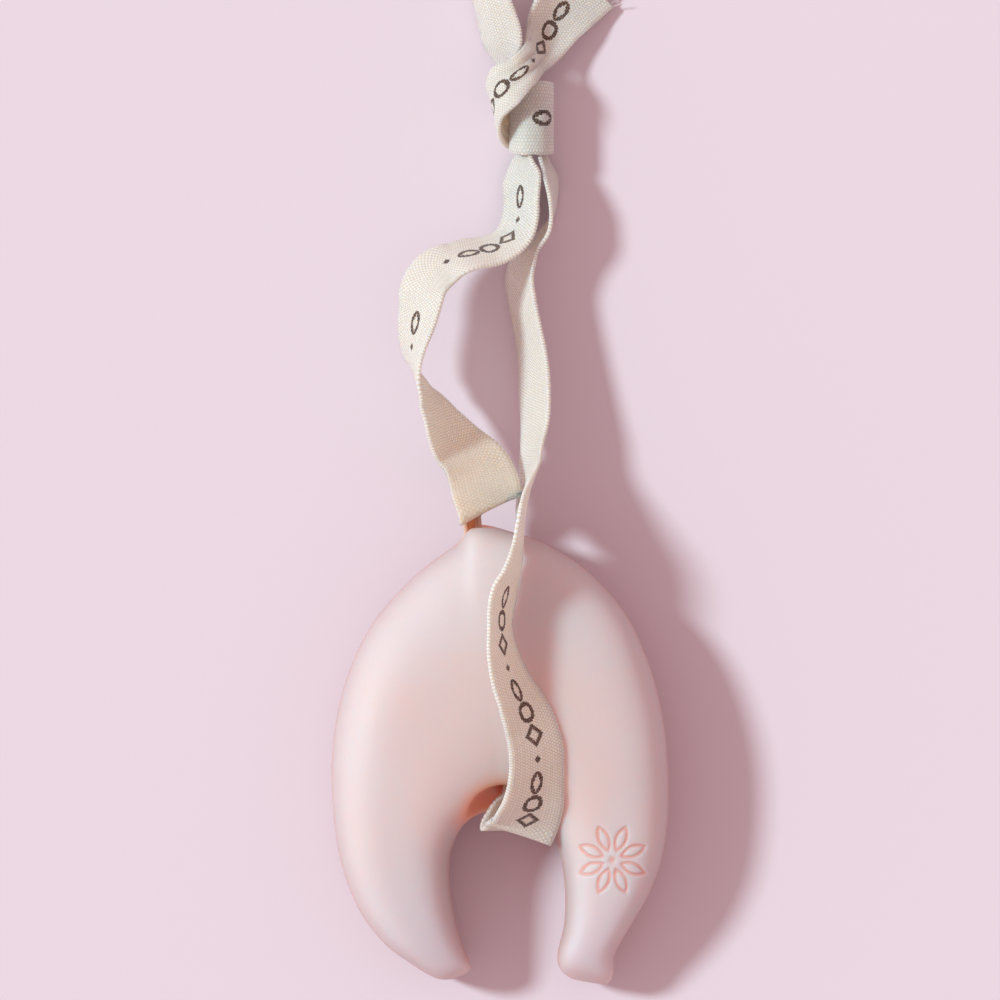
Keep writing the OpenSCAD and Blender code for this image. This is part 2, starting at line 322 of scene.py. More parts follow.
# %% [markdown]
# The bar's skin.
# A pillow-like section runs from the left tip over the bridge to the right tip. It could be drawn
# as a curve with a bevel, but its section changes all the way. So a circle of vertices is extruded
# from row to row, and each new vertex is put where its own angle belongs on that row's section.

# %% Bar skin
SECTION_POINTS = 128
SECTION_STEPS = 6
REST_EDGE = 0.5


def on_section(row, angle):
    """The place on a row's section at an angle, in millimetres."""
    outer = Vector((row[0] * FIT_X, row[1] * FIT_Y, 0))
    inner = Vector((row[2] * FIT_X, row[3] * FIT_Y, 0))
    top = BAR_THICK + row[4]
    low = row[5] - FLAT_CUT
    side = math.copysign(abs(math.cos(angle)) ** (2 / SECTION_POWER), math.cos(angle))
    rise = math.copysign(abs(math.sin(angle)) ** (2 / SECTION_POWER), math.sin(angle))
    place = (outer + inner) / 2 + (outer - inner) / 2 * side
    place.y -= BRIDGE_Y
    height = (top + low) / 2 + (top - low) / 2 * rise
    # The open side of the mould is flat, with a softly rounded edge
    place.z = (height + math.sqrt(height * height + REST_EDGE * REST_EDGE)) / 2
    return place * MM


def bar_skin():
    bm = bmesh.new()
    angle_of = bm.verts.layers.float.new("angle")
    ring = bmesh.ops.create_circle(bm, segments=SECTION_POINTS, radius=1)["verts"]
    for vert in ring:
        vert[angle_of] = math.atan2(vert.co.y, vert.co.x)
    rows = through(SECTIONS, np.arange(0, len(SECTIONS) - 1 + 1e-6, 1 / SECTION_STEPS))
    for vert in ring:
        vert.co = on_section(rows[0], vert[angle_of])
    edges = list(bm.edges)
    bmesh.ops.contextual_create(bm, geom=edges)
    for row in rows[1:]:
        grown = bmesh.ops.extrude_edge_only(bm, edges=edges)["geom"]
        for vert in grown:
            if isinstance(vert, bmesh.types.BMVert):
                vert.co = on_section(row, vert[angle_of])
        edges = [edge for edge in grown if isinstance(edge, bmesh.types.BMEdge)]
        edges = [edge for edge in edges if edge.is_boundary]
    bmesh.ops.contextual_create(bm, geom=edges)
    bmesh.ops.recalc_face_normals(bm, faces=bm.faces)
    return bm


def as_object(bm, name):
    mesh = bpy.data.meshes.new(name)
    bm.to_mesh(mesh)
    bm.free()
    piece = bpy.data.objects.new(name, mesh)
    bpy.context.scene.collection.objects.link(piece)
    return piece


skin = as_object(bar_skin(), "soap_skin")
print("skin", [round(side * 1000, 1) for side in skin.dimensions], "mm")

# %% [markdown]
# The channel.
# A rod in the mould leaves the channel, and a round recess opens its foot upwards. A profile with
# slightly flared ends is spun into a solid, and that solid and a ball are cut out of the bar. The
# voxel remesh that follows makes one even net of the result, and a few rounds of smoothing soften
# the rims, as they are on poured soap.

# %% Channel cutters
CHANNEL_RADIUS = 3.4
CHANNEL_HEIGHT = BAR_THICK / 2
CHANNEL_TOP = Vector((-7.8, 58 - BRIDGE_Y, CHANNEL_HEIGHT)) * MM
CHANNEL_FOOT = Vector((3.8, -16 - BRIDGE_Y, CHANNEL_HEIGHT + 5)) * MM
CROWN_MOUTH = CHANNEL_TOP.lerp(CHANNEL_FOOT, 0.12)
NOTCH_MOUTH = CHANNEL_TOP.lerp(CHANNEL_FOOT, 0.91)
SCOOP_PLACE = Vector((-0.5, -13.5 - BRIDGE_Y, CHANNEL_HEIGHT + 8)) * MM
SCOOP_RADIUS = 7.4


def channel_cutter():
    run = CHANNEL_FOOT - CHANNEL_TOP
    length = run.length
    crown = (CROWN_MOUTH - CHANNEL_TOP).length
    foot = (NOTCH_MOUTH - CHANNEL_TOP).length
    flares = [(0, 0.4), (crown, 0.4), (crown + 2 * MM, 0.2), (crown + 5 * MM, 0)]
    flares += [(foot - 5 * MM, 0), (foot - 2 * MM, 0.3), (foot, 0.6), (length, 0.6)]
    bm = bmesh.new()
    line = [bm.verts.new((0, 0, 0))]
    line += [bm.verts.new(((CHANNEL_RADIUS + more) * MM, 0, along)) for along, more in flares]
    line.append(bm.verts.new((0, 0, length)))
    edges = [bm.edges.new(pair) for pair in zip(line, line[1:])]
    bmesh.ops.spin(
        bm, geom=line + edges, cent=(0, 0, 0), axis=(0, 0, 1), angle=math.tau, steps=64, use_merge=True,
    )
    bmesh.ops.remove_doubles(bm, verts=bm.verts, dist=0.01 * MM)
    bmesh.ops.recalc_face_normals(bm, faces=bm.faces)
    turn = run.to_track_quat("Z", "Y").to_matrix().to_4x4()
    bmesh.ops.transform(bm, matrix=Matrix.Translation(CHANNEL_TOP) @ turn, verts=bm.verts)
    return bm


def scoop_cutter():
    bm = bmesh.new()
    bmesh.ops.create_icosphere(
        bm, subdivisions=5, radius=SCOOP_RADIUS * MM, matrix=Matrix.Translation(SCOOP_PLACE),
    )
    return bm


cutters = [as_object(channel_cutter(), "channel_cutter"), as_object(scoop_cutter(), "scoop_cutter")]
print("channel", round((CHANNEL_FOOT - CHANNEL_TOP).length / MM), "mm long")

# %% Cut and remesh
VOXEL = 0.54 * MM
SMOOTHINGS = 10


def net_of(piece):
    """A bmesh of what a piece's modifiers make of it."""
    made = bpy.data.meshes.new_from_object(piece.evaluated_get(bpy.context.evaluated_depsgraph_get()))
    bm = bmesh.new()
    bm.from_mesh(made)
    bpy.data.meshes.remove(made)
    return bm


def cut_and_remeshed():
    for cutter in cutters:
        cut = skin.modifiers.new(cutter.name, "BOOLEAN")
        cut.operation = "DIFFERENCE"
        cut.solver = "EXACT"
        cut.object = cutter
    even = skin.modifiers.new("even", "REMESH")
    even.mode = "VOXEL"
    even.voxel_size = VOXEL
    bm = net_of(skin)
    for piece in (skin, *cutters):
        bpy.data.objects.remove(piece)
    for _ in range(SMOOTHINGS):
        bmesh.ops.smooth_vert(
            bm, verts=bm.verts, factor=0.5, use_axis_x=True, use_axis_y=True, use_axis_z=True,
        )
    return bm


bar = cut_and_remeshed()
print("bar net", len(bar.verts), "vertices")

# %% [markdown]
# The engraved flower.
# A die in the mould presses a small flower into the right leg. Its lines are narrower than the
# net, so the faces below it are divided first. Then each vertex sinks by how near it lies to a
# petal's outline. A bump would look alike from above, but the light would not catch its edge.

# %% Engraving
FLOWER_AT = Vector((23.6 * FIT_X, -22.5 * FIT_Y - BRIDGE_Y, 0))
FLOWER_RADIUS = 8.2
PETALS = 8
EYE_RADIUS = 0.12 * FLOWER_RADIUS
PETAL_START = 0.2 * FLOWER_RADIUS
PETAL_HALF_WIDTH = 0.19 * FLOWER_RADIUS
GROOVE_WIDTH = 0.95
GROOVE_DEPTH = 0.5
GROOVE_SOFTNESS = 1.3
# The upward part of a unit normal past which a face belongs to the top of the leg
FACES_UP = 0.2


def groove(x, y):
    """How deep the flower is cut at a place on the leg, from 0 to 1."""
    out = math.hypot(x, y)
    if out > FLOWER_RADIUS + 1:
        return 0.0
    step = math.tau / PETALS
    turn = math.atan2(y, x)
    turn -= step * (math.floor(turn / step) + 0.5)
    along = out * math.cos(turn) - (PETAL_START + FLOWER_RADIUS) / 2
    across = abs(out * math.sin(turn))
    half_length = (FLOWER_RADIUS - PETAL_START) / 2
    arc = (half_length**2 + PETAL_HALF_WIDTH**2) / (2 * PETAL_HALF_WIDTH)
    inside = arc - math.hypot(along, across + arc - PETAL_HALF_WIDTH)
    line = abs(inside - GROOVE_WIDTH / 2) / (GROOVE_WIDTH / 2)
    eye = out / EYE_RADIUS
    near = min(line, eye)
    return 0.5 + 0.5 * math.cos(math.pi * min(near / GROOVE_SOFTNESS, 1))


def engrave(bm):
    bm.normal_update()
    middle = FLOWER_AT * MM
    faces = []
    for face in bm.faces:
        place = face.calc_center_median()
        near = math.hypot(place.x - middle.x, place.y - middle.y) < (FLOWER_RADIUS + 1) * MM
        if near and face.normal.z > FACES_UP:
            faces.append(face)
    edges = list(dict.fromkeys(edge for face in faces for edge in face.edges))
    bmesh.ops.subdivide_edges(bm, edges=edges, cuts=2, use_grid_fill=True)
    bm.normal_update()
    cut_of = bm.verts.layers.float.new("groove")
    for vert in bm.verts:
        if vert.normal.z > FACES_UP:
            depth = groove((vert.co.x - middle.x) / MM, (vert.co.y - middle.y) / MM)
            if depth > 0:
                vert[cut_of] = depth
    for vert in bm.verts:
        vert.co -= vert.normal * (vert[cut_of] * GROOVE_DEPTH * MM)
    return len(faces)


print("faces below the flower", engrave(bar))

# %% [markdown]
# Small faults and a painted glow.
# Poured soap isn't perfect: it swells and sinks by a fraction of a millimetre, and it has a nub or
# two where it left the mould. Light that enters it comes out redder in hollows, so each vertex
# also keeps a number that says how much it lies in one. The material paints that as a red glow,
# and the engraved lines get a share of it.

# %% Faults and painted glow
# Place, reach and height of each nub
NUBS = [(-37.4, -22.4, 9, 0.9, 0.5), (31.9, 3.5, 9, 0.8, 0.45), (35.6, -12.8, 8, 1.1, 0.25)]
SWELL = 0.12
SWELLS_PER_METRE = 45
SWELL_STARTS_UP = 3
CHANNEL_GLOW_REACH = 3
SCOOP_GLOW_REACH = 5
GROOVE_GLOW_SHARE = 0.35


def to_line(place, first, second):
    """Distance of a place from the line between two points."""
    run = second - first
    along = max(0.0, min(1.0, (place - first).dot(run) / run.length_squared))
    return (place - first - run * along).length


def finish_bar(bm):
    bm.normal_update()
    cut_of = bm.verts.layers.float["groove"]
    blush_of = bm.verts.layers.float.new("blush")
    # How deep each vertex lies in a hollow, for the painted red glow
    for vert in bm.verts:
        from_channel = to_line(vert.co, CROWN_MOUTH, NOTCH_MOUTH) / MM - CHANNEL_RADIUS
        from_scoop = (vert.co - SCOOP_PLACE).length / MM - SCOOP_RADIUS
        hollow = 1 - min(1.0, max(0.0, min(from_channel / CHANNEL_GLOW_REACH, from_scoop / SCOOP_GLOW_REACH)))
        vert[blush_of] = min(1.0, hollow**2 + GROOVE_GLOW_SHARE * vert[cut_of])
    pushes = []
    for vert in bm.verts:
        swell = noise.noise(vert.co * SWELLS_PER_METRE) * SWELL * MM
        lift = min(1.0, vert.co.z / (SWELL_STARTS_UP * MM))
        pushes.append(swell * lift)
    for vert, push in zip(bm.verts, pushes):
        vert.co += vert.normal * push
        for x, y, z, reach, height in NUBS:
            away = (vert.co - Vector((x, y, z)) * MM).length / MM
            if away < 2 * reach:
                vert.co += vert.normal * (height * math.exp(-((away / reach) ** 2)) * MM)
    for face in bm.faces:
        face.smooth = True
    return bm


soap = as_object(finish_bar(bar), "soap")
print("soap", len(soap.data.polygons), "faces", [round(side * 1000, 1) for side in soap.dimensions], "mm")

# %% [markdown]
# Soap.
# Soap is a waxy solid that lets light in, so its shadows are soft and its hollows glow. A
# Principled shader with subsurface does part of that, with the red part of the light travelling
# furthest. The colour is a pale pink, uneven over a few centimetres and warmer around the notch.
# Painted shade darkens it where the surface slopes, painted red shade lies down the walls, and a
# painted red glow fills the hollows.

# %% Soap finish
TOP_PINK = (0.705, 0.63, 0.65)
WARM_PINK = (0.78, 0.59, 0.56)
TIP_PINK = (0.66, 0.63, 0.685)
SLOPE_PAINTED_SHADE = (0.61, 0.50, 0.51)
WALL_PAINTED_RED_SHADE = (0.56, 0.28, 0.26)
HOLLOW_PAINTED_GLOW = (1.0, 0.42, 0.28)
# The warm area lies round a point near the notch and fades over so many square metres
WARM_MIDDLE = -0.02
WARM_AREA = 0.001
TIPS_START = -0.03
TIPS_END = -0.072


def soap_finish():
    shader = Shader(
        "soap",
        Subsurface_Weight=1.0,
        Subsurface_Radius=(1.0, 0.44, 0.35),
        Subsurface_Scale=0.013,
        Specular_IOR_Level=0.32,
        IOR=1.45,
    )
    place = shader.place()
    parts = shader.node("ShaderNodeSeparateXYZ", {}, {0: place}).outputs
    across = Value(shader, parts["X"])
    along = Value(shader, parts["Y"])
    beyond = along - WARM_MIDDLE
    from_notch = across * across + beyond * beyond
    normal = shader.node("ShaderNodeNewGeometry").outputs["Normal"]
    facing_up = Value(shader, shader.node("ShaderNodeSeparateXYZ", {}, {0: normal}).outputs["Z"])
    uneven = shader.noise(place, 38, 2)
    warmth = uneven.between(0.3, 0.7) * 0.3 + (1 - from_notch.between(0, WARM_AREA)) * 0.6
    pink = shader.mix(warmth, TOP_PINK, WARM_PINK)
    pink = shader.mix(1 - along.between(TIPS_END, TIPS_START), pink, TIP_PINK)
    # painted shade: the soap is darker where its surface slopes away from straight up
    pink = shader.mix((1 - facing_up).between(0.1, 0.7), pink, SLOPE_PAINTED_SHADE)
    # painted red shade down the steep walls
    pink = shader.mix((1 - facing_up.between(-0.1, 0.35)) * 0.85, pink, WALL_PAINTED_RED_SHADE)
    # painted red glow in the channel's mouths, the recess and the engraved lines
    pink = shader.mix(shader.attribute("blush"), pink, HOLLOW_PAINTED_GLOW)
    shader.set("Base Color", pink)
    fine = shader.noise(shader.stretched(place, (1, 0.12, 1)), 900, 3)
    shader.set("Roughness", 0.42 + fine * 0.12)
    shader.bump(shader.noise(place, 260, 4) + fine * 0.3, 0.00005, 0.5)
    return shader.material


soap.data.materials.append(soap_finish())
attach(soap, "root")
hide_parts("soap_bar")
print("soap finish on", soap.name)

# %% [markdown]
# The tape's route.
# The tape comes from its left tail through the knot, makes the left strand, runs folded through the
# channel, turns up out of the notch, lies over the front, and goes back to the knot as the
# right strand. Each station says where the middle of the tape is, how high its lower edge lies,
# which way and how steeply the line across it points, how far it is folded lengthwise, and its width.

# %% Stations of the tape
TAPE_WIDTH = 15
TAPE_THICK = 0.8
LEFT_TAIL = [
    (-4.5, 168, 1.6, 17, 58, -40, 1),
    (-3, 162.5, 1.6, 17, 58, -40, 1),
    (-0.8, 155.5, 1.4, 15, 56, -30, 1),
    (1.3, 150.3, 2.4, 10, 65, 0, 0.72),
    (4.2, 146.5, 4.4, 5, 75, 0, 0.55),
    (5.1, 142, 4, 0, 80, 0, 0.55),
    (5.1, 137, 4, 0, 80, 0, 0.55),
    (4.9, 132, 3.6, 0, 78, 0, 0.6),
]
LEFT_STRAND = [
    (4.2, 128.5, 2.6, 0, 68, 0, 0.8),
    (4.1, 125, 2, 0, 60, 0, 1),
    (4, 120, 2.6, 0, 62, 0, 1),
    (3.4, 115.5, 3.6, -5, 60, 0, 1),
    (1.5, 112, 5, -25, 60, 0, 1),
    (-2.6, 109.5, 7.2, -55, 62, 0, 1),
    (-9, 107.8, 10.4, -62, 62, 0, 1),
    (-13.9, 105.4, 12.4, -48, 48, 0, 0.93),
    (-16.8, 101.8, 13.8, -22, 45, 0, 0.9),
    (-17.9, 97.2, 14.4, -3, 49, 0, 0.9),
    (-18.9, 92, 13.8, 0, 57, 0, 0.9),
    (-19.4, 87.3, 12.8, 0, 71, 0, 0.93),
    (-18.8, 82.3, 11.4, 0, 88, 0, 1),
    (-17.4, 78.6, 10, 200, 80, 0, 1),
    (-15.8, 75.5, 9, 205, 72, 0, 1),
    (-12.9, 70.8, 7.6, 215, 55, 0, 1),
    (-9.8, 67, 7.8, 218, 41, 0, 1),
    (-6, 63.6, 9.6, 218, 34, 0, 1),
    (-4.4, 60.2, 12.4, 216, 26, 0, 1),
    (-3.5, 56.7, 16, 209, 19, 0, 1),
]
TOP_MOUTH = [
    (-2.8, 54.1, 2.9, 207, 14, 0, 1),
    (-2.8, 53.5, 2.3, 207, 8, -10, 1),
    (-3.8, 54.9, 1, 206, 0, -60, 0.85),
    (-5.6, 54.8, -0.6, 200, 0, -125, 0.65),
    (-6.7, 52.6, -0.4, 192, 0, -160, 0.56),
    (-6.6, 49.8, 0.1, 190, 0, -165, 0.55),
    (-6.1, 46.8, 0.7, 190, 0, -165, 0.55),
    (-4.8, 39, 1.3, 190, 0, -165, 0.55),
]
CHANNEL_RUN = [
    (-3.4, 30, 1.9, 190, 0, -165, 0.55),
    (-2, 21, 2.5, 190, 0, -165, 0.55),
    (-0.4, 11, 3.2, 190, 0, -165, 0.55),
    (1.1, 1, 3.8, 190, 0, -165, 0.55),
]
FOOT_MOUTH = [
    (2.1, -5, 4.3, 188, 0, -160, 0.55),
    (2.4, -8.8, 4.6, 182, 0, -140, 0.62),
    (1.8, -11.8, 4.7, 175, 0, -90, 0.78),
    (1.9, -14.5, 4.7, 168, 0, -35, 0.97),
    (2.7, -16.2, 5.8, 163, 4, 0, 1),
    (3.6, -16.6, 7.8, 163, 11, 0, 1),
]
FRONT = [
    (4.8, -14.6, -6.4, 170, 22, 0, 1),
    (6.3, -9.8, -2.6, 173, 35, 0, 1),
    (7.1, -4.3, -0.7, 177, 41, 0, 1),
    (7.1, 1.3, 0.4, 180, 41, 0, 1),
    (5.9, 6.5, 0.6, 170, 41, 0, 1),
    (3.9, 11.4, 0.7, 166, 46, 0, 1),
    (1.6, 16.5, 0.6, 172, 56, 0, 1),
    (0, 22, 0.5, 178, 65, 0, 1),
    (-0.6, 27.5, 0.3, 180, 71, 0, 1),
    (-0.4, 32, 0.2, 180, 70, 0, 1),
    (0.4, 35.5, 0, 182, 69, 0, 1),
    (1.7, 38.7, -0.8, 180, 75, 0, 1),
    (2.8, 42.4, -2, 180, 80, 0, 1),
    (3.7, 47.5, -4, 180, 84, 0, 1),
]
RIGHT_STRAND = [
    (4.6, 52.8, 18.4, 180, 89, 0, 1),
    (5.6, 59.3, 10, 0, 80, 0, 1),
    (6.3, 65.6, 6, 0, 75, 0, 1),
    (7, 72, 4.2, 0, 69, 0, 1),
    (6.9, 79, 2.4, 0, 66, 0, 1),
    (6.4, 85.5, 1.4, 0, 66, 0, 1),
    (5.4, 92, 1, 0, 68, 0, 1),
    (4.1, 98.5, 1, 0, 68, 0, 1),
    (3.6, 103.8, 1, 0, 68, 0, 1),
    (5.3, 108.9, 1, 0, 71, 0, 1),
    (8.9, 113.2, 0.8, 0, 81, 0, 1),
    (10.6, 117.5, 0.6, 180, 88, 0, 1),
    (10.8, 121.5, 0.6, 180, 83, 0, 1),
    (10.2, 125.6, 1.6, 180, 78, 0, 0.87),
    (8.8, 129, 3, 180, 80, 0, 0.67),
]
KNOT = [
    (7.6, 133, 4, 180, 82, 0, 0.53),
    (7.6, 137, 4.4, 180, 86, 0, 0.48),
    (7.9, 140.8, 4.6, 90, 53, 0, 0.47),
    (7.4, 143, 4.4, 95, 10, 0, 0.47),
    (5.5, 142.8, 2.8, 100, 0, 0, 0.47),
    (2.9, 141.3, 3.4, 100, 0, 0, 0.6),
    (1.7, 139.4, 6.6, 95, 0, 0, 0.8),
    (2.2, 138.3, 10.4, 90, 0, 0, 1),
    (4, 138, 13, 90, 0, 0, 1.06),
    (6.3, 138, 13.7, 90, 0, 0, 1.06),
    (8.7, 138, 12.9, 90, 0, 0, 1.06),
    (10.4, 138, 10, 90, 0, 0, 1.03),
    (10.4, 137.9, 6.6, 90, 0, 0, 1),
    (9.4, 137.4, 3.4, 90, 0, 0, 0.93),
    (6.8, 136.6, 1.4, 95, 0, 0, 0.75),
    (4, 135.8, 1.2, 95, 0, 0, 0.6),
    (1.7, 135.8, 2.8, 92, -5, 0, 0.57),
    (0.1, 136.2, 4.7, 90, -24, 0, 0.57),
    (-1.5, 138.7, 7.6, 98, -40, 0, 0.67),
    (-1.7, 141.9, 10.2, 116, -44, 0, 0.73),
    (0.6, 145, 13, 134, -32, 0, 0.73),
    (4.2, 147.9, 14.7, 134, -10, 0, 0.5),
]
RIGHT_TAIL = [
    (6.8, 151.1, 8.8, 145, 36, 0, 0.5),
    (9, 155, 5.4, 138, 16, 40, 0.73),
    (11.7, 160, 3.6, 139, 14, 50, 0.93),
    (15.1, 164.3, 2.2, 139, 12, 30, 1),
    (19.1, 168, 1.4, 139, 10, 15, 1),
]


def stations(rows, base, fitted=False):
    """Each row as a middle, a direction across, a fold and a width."""
    made = []
    for x, y, height, azimuth, lean, fold, share in rows:
        turn = math.radians(azimuth)
        tilt = math.radians(lean)
        width = TAPE_WIDTH * share
        if fitted:
            middle = [x * FIT_X, y * FIT_Y - BRIDGE_Y]
        else:
            middle = [x, y + CROWN_SHIFT - BRIDGE_Y]
        middle.append(base + height + width / 2 * abs(math.sin(tilt)))
        across = [math.cos(turn) * math.cos(tilt), math.sin(turn) * math.cos(tilt), math.sin(tilt)]
        made.append([*middle, *across, math.radians(fold), width])
    return made


ROUTE = stations(LEFT_TAIL, 0) + stations(LEFT_STRAND, 0) + stations(TOP_MOUTH, CHANNEL_HEIGHT)
ROUTE += stations(CHANNEL_RUN, CHANNEL_HEIGHT, True) + stations(FOOT_MOUTH, CHANNEL_HEIGHT, True)
ROUTE += stations(FRONT, BAR_THICK, True) + stations(RIGHT_STRAND, 0)
ROUTE += stations(KNOT, 0) + stations(RIGHT_TAIL, 0)
print(len(ROUTE), "stations")

# %% [markdown]
# The tape's length.
# Cloth keeps its length however it is laid, so the route is as long as the tape. The length of a
# curve has a formula with an integral in it, but adding up many short steps is simpler and as good.

# %% Length of the tape
def measured_route():
    """Places along the route at an even pace, with the distance from the first."""
    places = np.linspace(0, len(ROUTE) - 1, 40 * len(ROUTE))
    middles = through(ROUTE, places)[:, :3]
    steps = np.linalg.norm(np.diff(middles, axis=0), axis=1)
    return places, np.concatenate([[0], np.cumsum(steps)])


route_places, route_lengths = measured_route()
TAPE_LENGTH = float(route_lengths[-1])
print("tape", round(TAPE_LENGTH), "mm long")

# %% [markdown]
# The cloth.
# The tape starts as it left the loom: a flat grid, cut to length. Every vertex is then carried to
# its place on the route, so the cloth keeps its own width and length and the print follows it. The
# weft makes a rib every 0.65 mm and a small scallop in the edge, so the grid is fine enough along
# the tape to have these as true forms. Solidify gives it its thickness.

# %% Where the cloth lies
ALONG_STEPS = 2900
ACROSS_STEPS = 14
FOLD_TURN = 0.3
DIRECTION_REACH = 4


def fold_slope(fold, place):
    """The slope across the tape where it is folded along its middle, at a place from -1 to 1."""
    return fold / 2 * place * math.sqrt(1 + FOLD_TURN**2) / np.sqrt(place**2 + FOLD_TURN**2)


def laid_cloth():
    """Middle, across and face directions, fold and width for each step along the tape."""
    lengths = np.linspace(0, TAPE_LENGTH, ALONG_STEPS + 1)
    rows = through(ROUTE, np.interp(lengths, route_lengths, route_places))
    middle = rows[:, :3]
    reach = DIRECTION_REACH
    padded = np.vstack([middle[:1]] * reach + [middle] + [middle[-1:]] * reach)
    ahead = unit(padded[2 * reach:] - padded[:-2 * reach])
    lean = rows[:, 3:6]
    across = unit(lean - np.sum(lean * ahead, axis=1, keepdims=True) * ahead)
    face = np.cross(ahead, across)
    return lengths, middle, across, face, rows[:, 6], rows[:, 7]


print("a step along the tape is", round(TAPE_LENGTH / ALONG_STEPS, 3), "mm")

# %% Tight turns
# Along these stretches the tape turns within its own plane. Where its inner edge's pace falls below a
# share of the tape's, it is eased over a reach to either side
TURNING = [(50, 134), (141.5, 150)]
TIGHTEST = 0.25
EASED_REACH = 2
EASINGS = 900


def eased(points, lengths):
    """The points with the inner edge of each tight turn drawn smooth, where it would run backwards."""
    pace = lengths[1]
    steps = np.diff(points, axis=0)
    ahead = unit(np.diff(points.mean(axis=1), axis=0))[:, None, :]
    backwards = np.sum(steps * ahead, axis=2) < TIGHTEST * pace
    turning = [(lengths[1:] > first) & (lengths[1:] < last) for first, last in TURNING]
    backwards &= np.any(turning, axis=0)[:, None]
    rounds = round(EASED_REACH / pace)
    near = np.zeros(points.shape[:2], bool)
    near[1:] |= backwards
    near[:-1] |= backwards
    for _ in range(rounds):
        near[1:] |= near[:-1].copy()
        near[:-1] |= near[1:].copy()
    near[0] = False
    near[-1] = False
    for _ in range(EASINGS):
        mean = points.copy()
        mean[1:-1] = (points[:-2] + points[2:]) / 2
        points = np.where(near[..., None], mean, points)
    return points


print(len(TURNING), "stretches of tight turns")

# %% Cloth form
RIB = 0.65
RIB_HEIGHT = 0.03
RIB_SLANT = 9
SCALLOP = 0.16
CURL_HEIGHT = 0.5
CURL_LENGTH = 9


def cloth_points():
    """A table of points, step along by step across, in metres."""
    lengths, middle, across, face, fold, width = laid_cloth()
    centres = (np.arange(ACROSS_STEPS) + 0.5) / ACROSS_STEPS * 2 - 1
    slopes = fold_slope(fold[:, None], centres[None, :])
    step = (width / ACROSS_STEPS)[:, None]
    start = np.zeros((len(fold), 1))
    sideways = np.concatenate([start, np.cumsum(step * np.cos(slopes), axis=1)], axis=1)
    upwards = np.concatenate([start, np.cumsum(step * np.sin(slopes), axis=1)], axis=1)
    sideways -= sideways.mean(axis=1, keepdims=True)
    upwards -= upwards.mean(axis=1, keepdims=True)
    places = np.linspace(-1, 1, ACROSS_STEPS + 1)[None, :]
    bunched = np.clip(1 - width / TAPE_WIDTH, 0, 0.5)[:, None]
    upwards += CURL_HEIGHT * bunched * np.sin(places * math.tau * 1.5 + lengths[:, None] / CURL_LENGTH)
    across = across[:, None, :]
    face = face[:, None, :]
    points = middle[:, None, :] + across * sideways[..., None] + face * upwards[..., None]
    points = eased(points, lengths)
    pace = np.linalg.norm(np.gradient(points, axis=0), axis=2) / lengths[1]
    open_weave = np.clip((pace - 0.35) / 0.4, 0, 1)
    phase = lengths[:, None] / RIB * math.tau
    ribs = RIB_HEIGHT * open_weave * np.sin(phase + places * RIB_SLANT)
    edge = np.clip((np.abs(places) - 0.8) / 0.2, 0, 1) * np.sign(places)
    scallops = SCALLOP * open_weave * edge * (np.abs(np.sin(phase / 2)) - 0.7)
    points += face * ribs[..., None] + across * scallops[..., None]
    return points * MM


def cloth():
    points = cloth_points()
    bm = bmesh.new()
    bmesh.ops.create_grid(bm, x_segments=ALONG_STEPS, y_segments=ACROSS_STEPS, size=0.5)
    weave = bm.loops.layers.uv.new("weave")
    for face in bm.faces:
        face.smooth = True
        for loop in face.loops:
            flat = loop.vert.co
            loop[weave].uv = ((flat.x + 0.5) * TAPE_LENGTH, flat.y * TAPE_WIDTH)
    for vert in bm.verts:
        row = round((vert.co.x + 0.5) * ALONG_STEPS)
        column = round((vert.co.y + 0.5) * ACROSS_STEPS)
        vert.co = points[row, column]
    return bm


tape = as_object(cloth(), "tape")
wall = tape.modifiers.new("thickness", "SOLIDIFY")
wall.thickness = TAPE_THICK * MM
wall.offset = 0
wall.material_offset = 1
print("tape", len(tape.data.polygons), "faces a side")

# %% [markdown]
# Weave and print.
# Cotton tape is a plain weave: each weft pick goes over one warp yarn and under the next, and the pick
# after it does the opposite. A picture of cloth would repeat and would need a file. So the weave is a
# product of waves on the tape's own UV map, with every other yarn half a pick ahead. It paints shade
# where the yarns lie deep and drives a fine bump on the ribs that the form already has. The print
# stands on the same map, stepped as if it were stitched, and is a little fainter where they lie deep.

# %% Print
MOTIF_PITCH = 5.2
STITCH = 0.36
STROKE = 0.48
RING_RADIUS = 1.85
LEAF_RADIUS = 3.0
LEAF_SHIFT = 1.75
DOT_RADIUS = 0.75
DIAMOND_REACH = 2.1


def stroke(distance):
    """1 on a drawn line and 0 beside it, from the distance to its middle."""
    return 1 - distance.math("ABSOLUTE").between(STROKE - 0.04, STROKE + 0.04)


def printed_motifs(shader, along, across):
    """Rings, leaves, dots and diamonds along the tape, stepped as stitches: 1 where there is ink."""
    cell = along / MOTIF_PITCH
    number = cell.math("FLOOR")
    x = ((cell.math("FRACT") - 0.5) * MOTIF_PITCH / STITCH).math("ROUND") * STITCH
    y = ((across / STITCH).math("ROUND") * STITCH).math("ABSOLUTE")
    leaf_side = y + LEAF_SHIFT
    out = (x * x + y * y).math("SQRT")
    ring = stroke(out - RING_RADIUS)
    leaf = stroke((x * x + leaf_side * leaf_side).math("SQRT") - LEAF_RADIUS)
    dot = 1 - out.between(DOT_RADIUS - 0.05, DOT_RADIUS + 0.05)
    diamond = stroke((x.math("ABSOLUTE") + y - DIAMOND_REACH) * math.sqrt(0.5))
    kind = number.math("MODULO", 4)
    drawn = 0
    for turn, motif in enumerate((ring, leaf, dot, diamond)):
        drawn = motif * (1 - (kind - turn).math("ABSOLUTE").between(0.2, 0.8)) + drawn
    return drawn * shader.attribute("printed")


print("a motif every", MOTIF_PITCH, "mm")

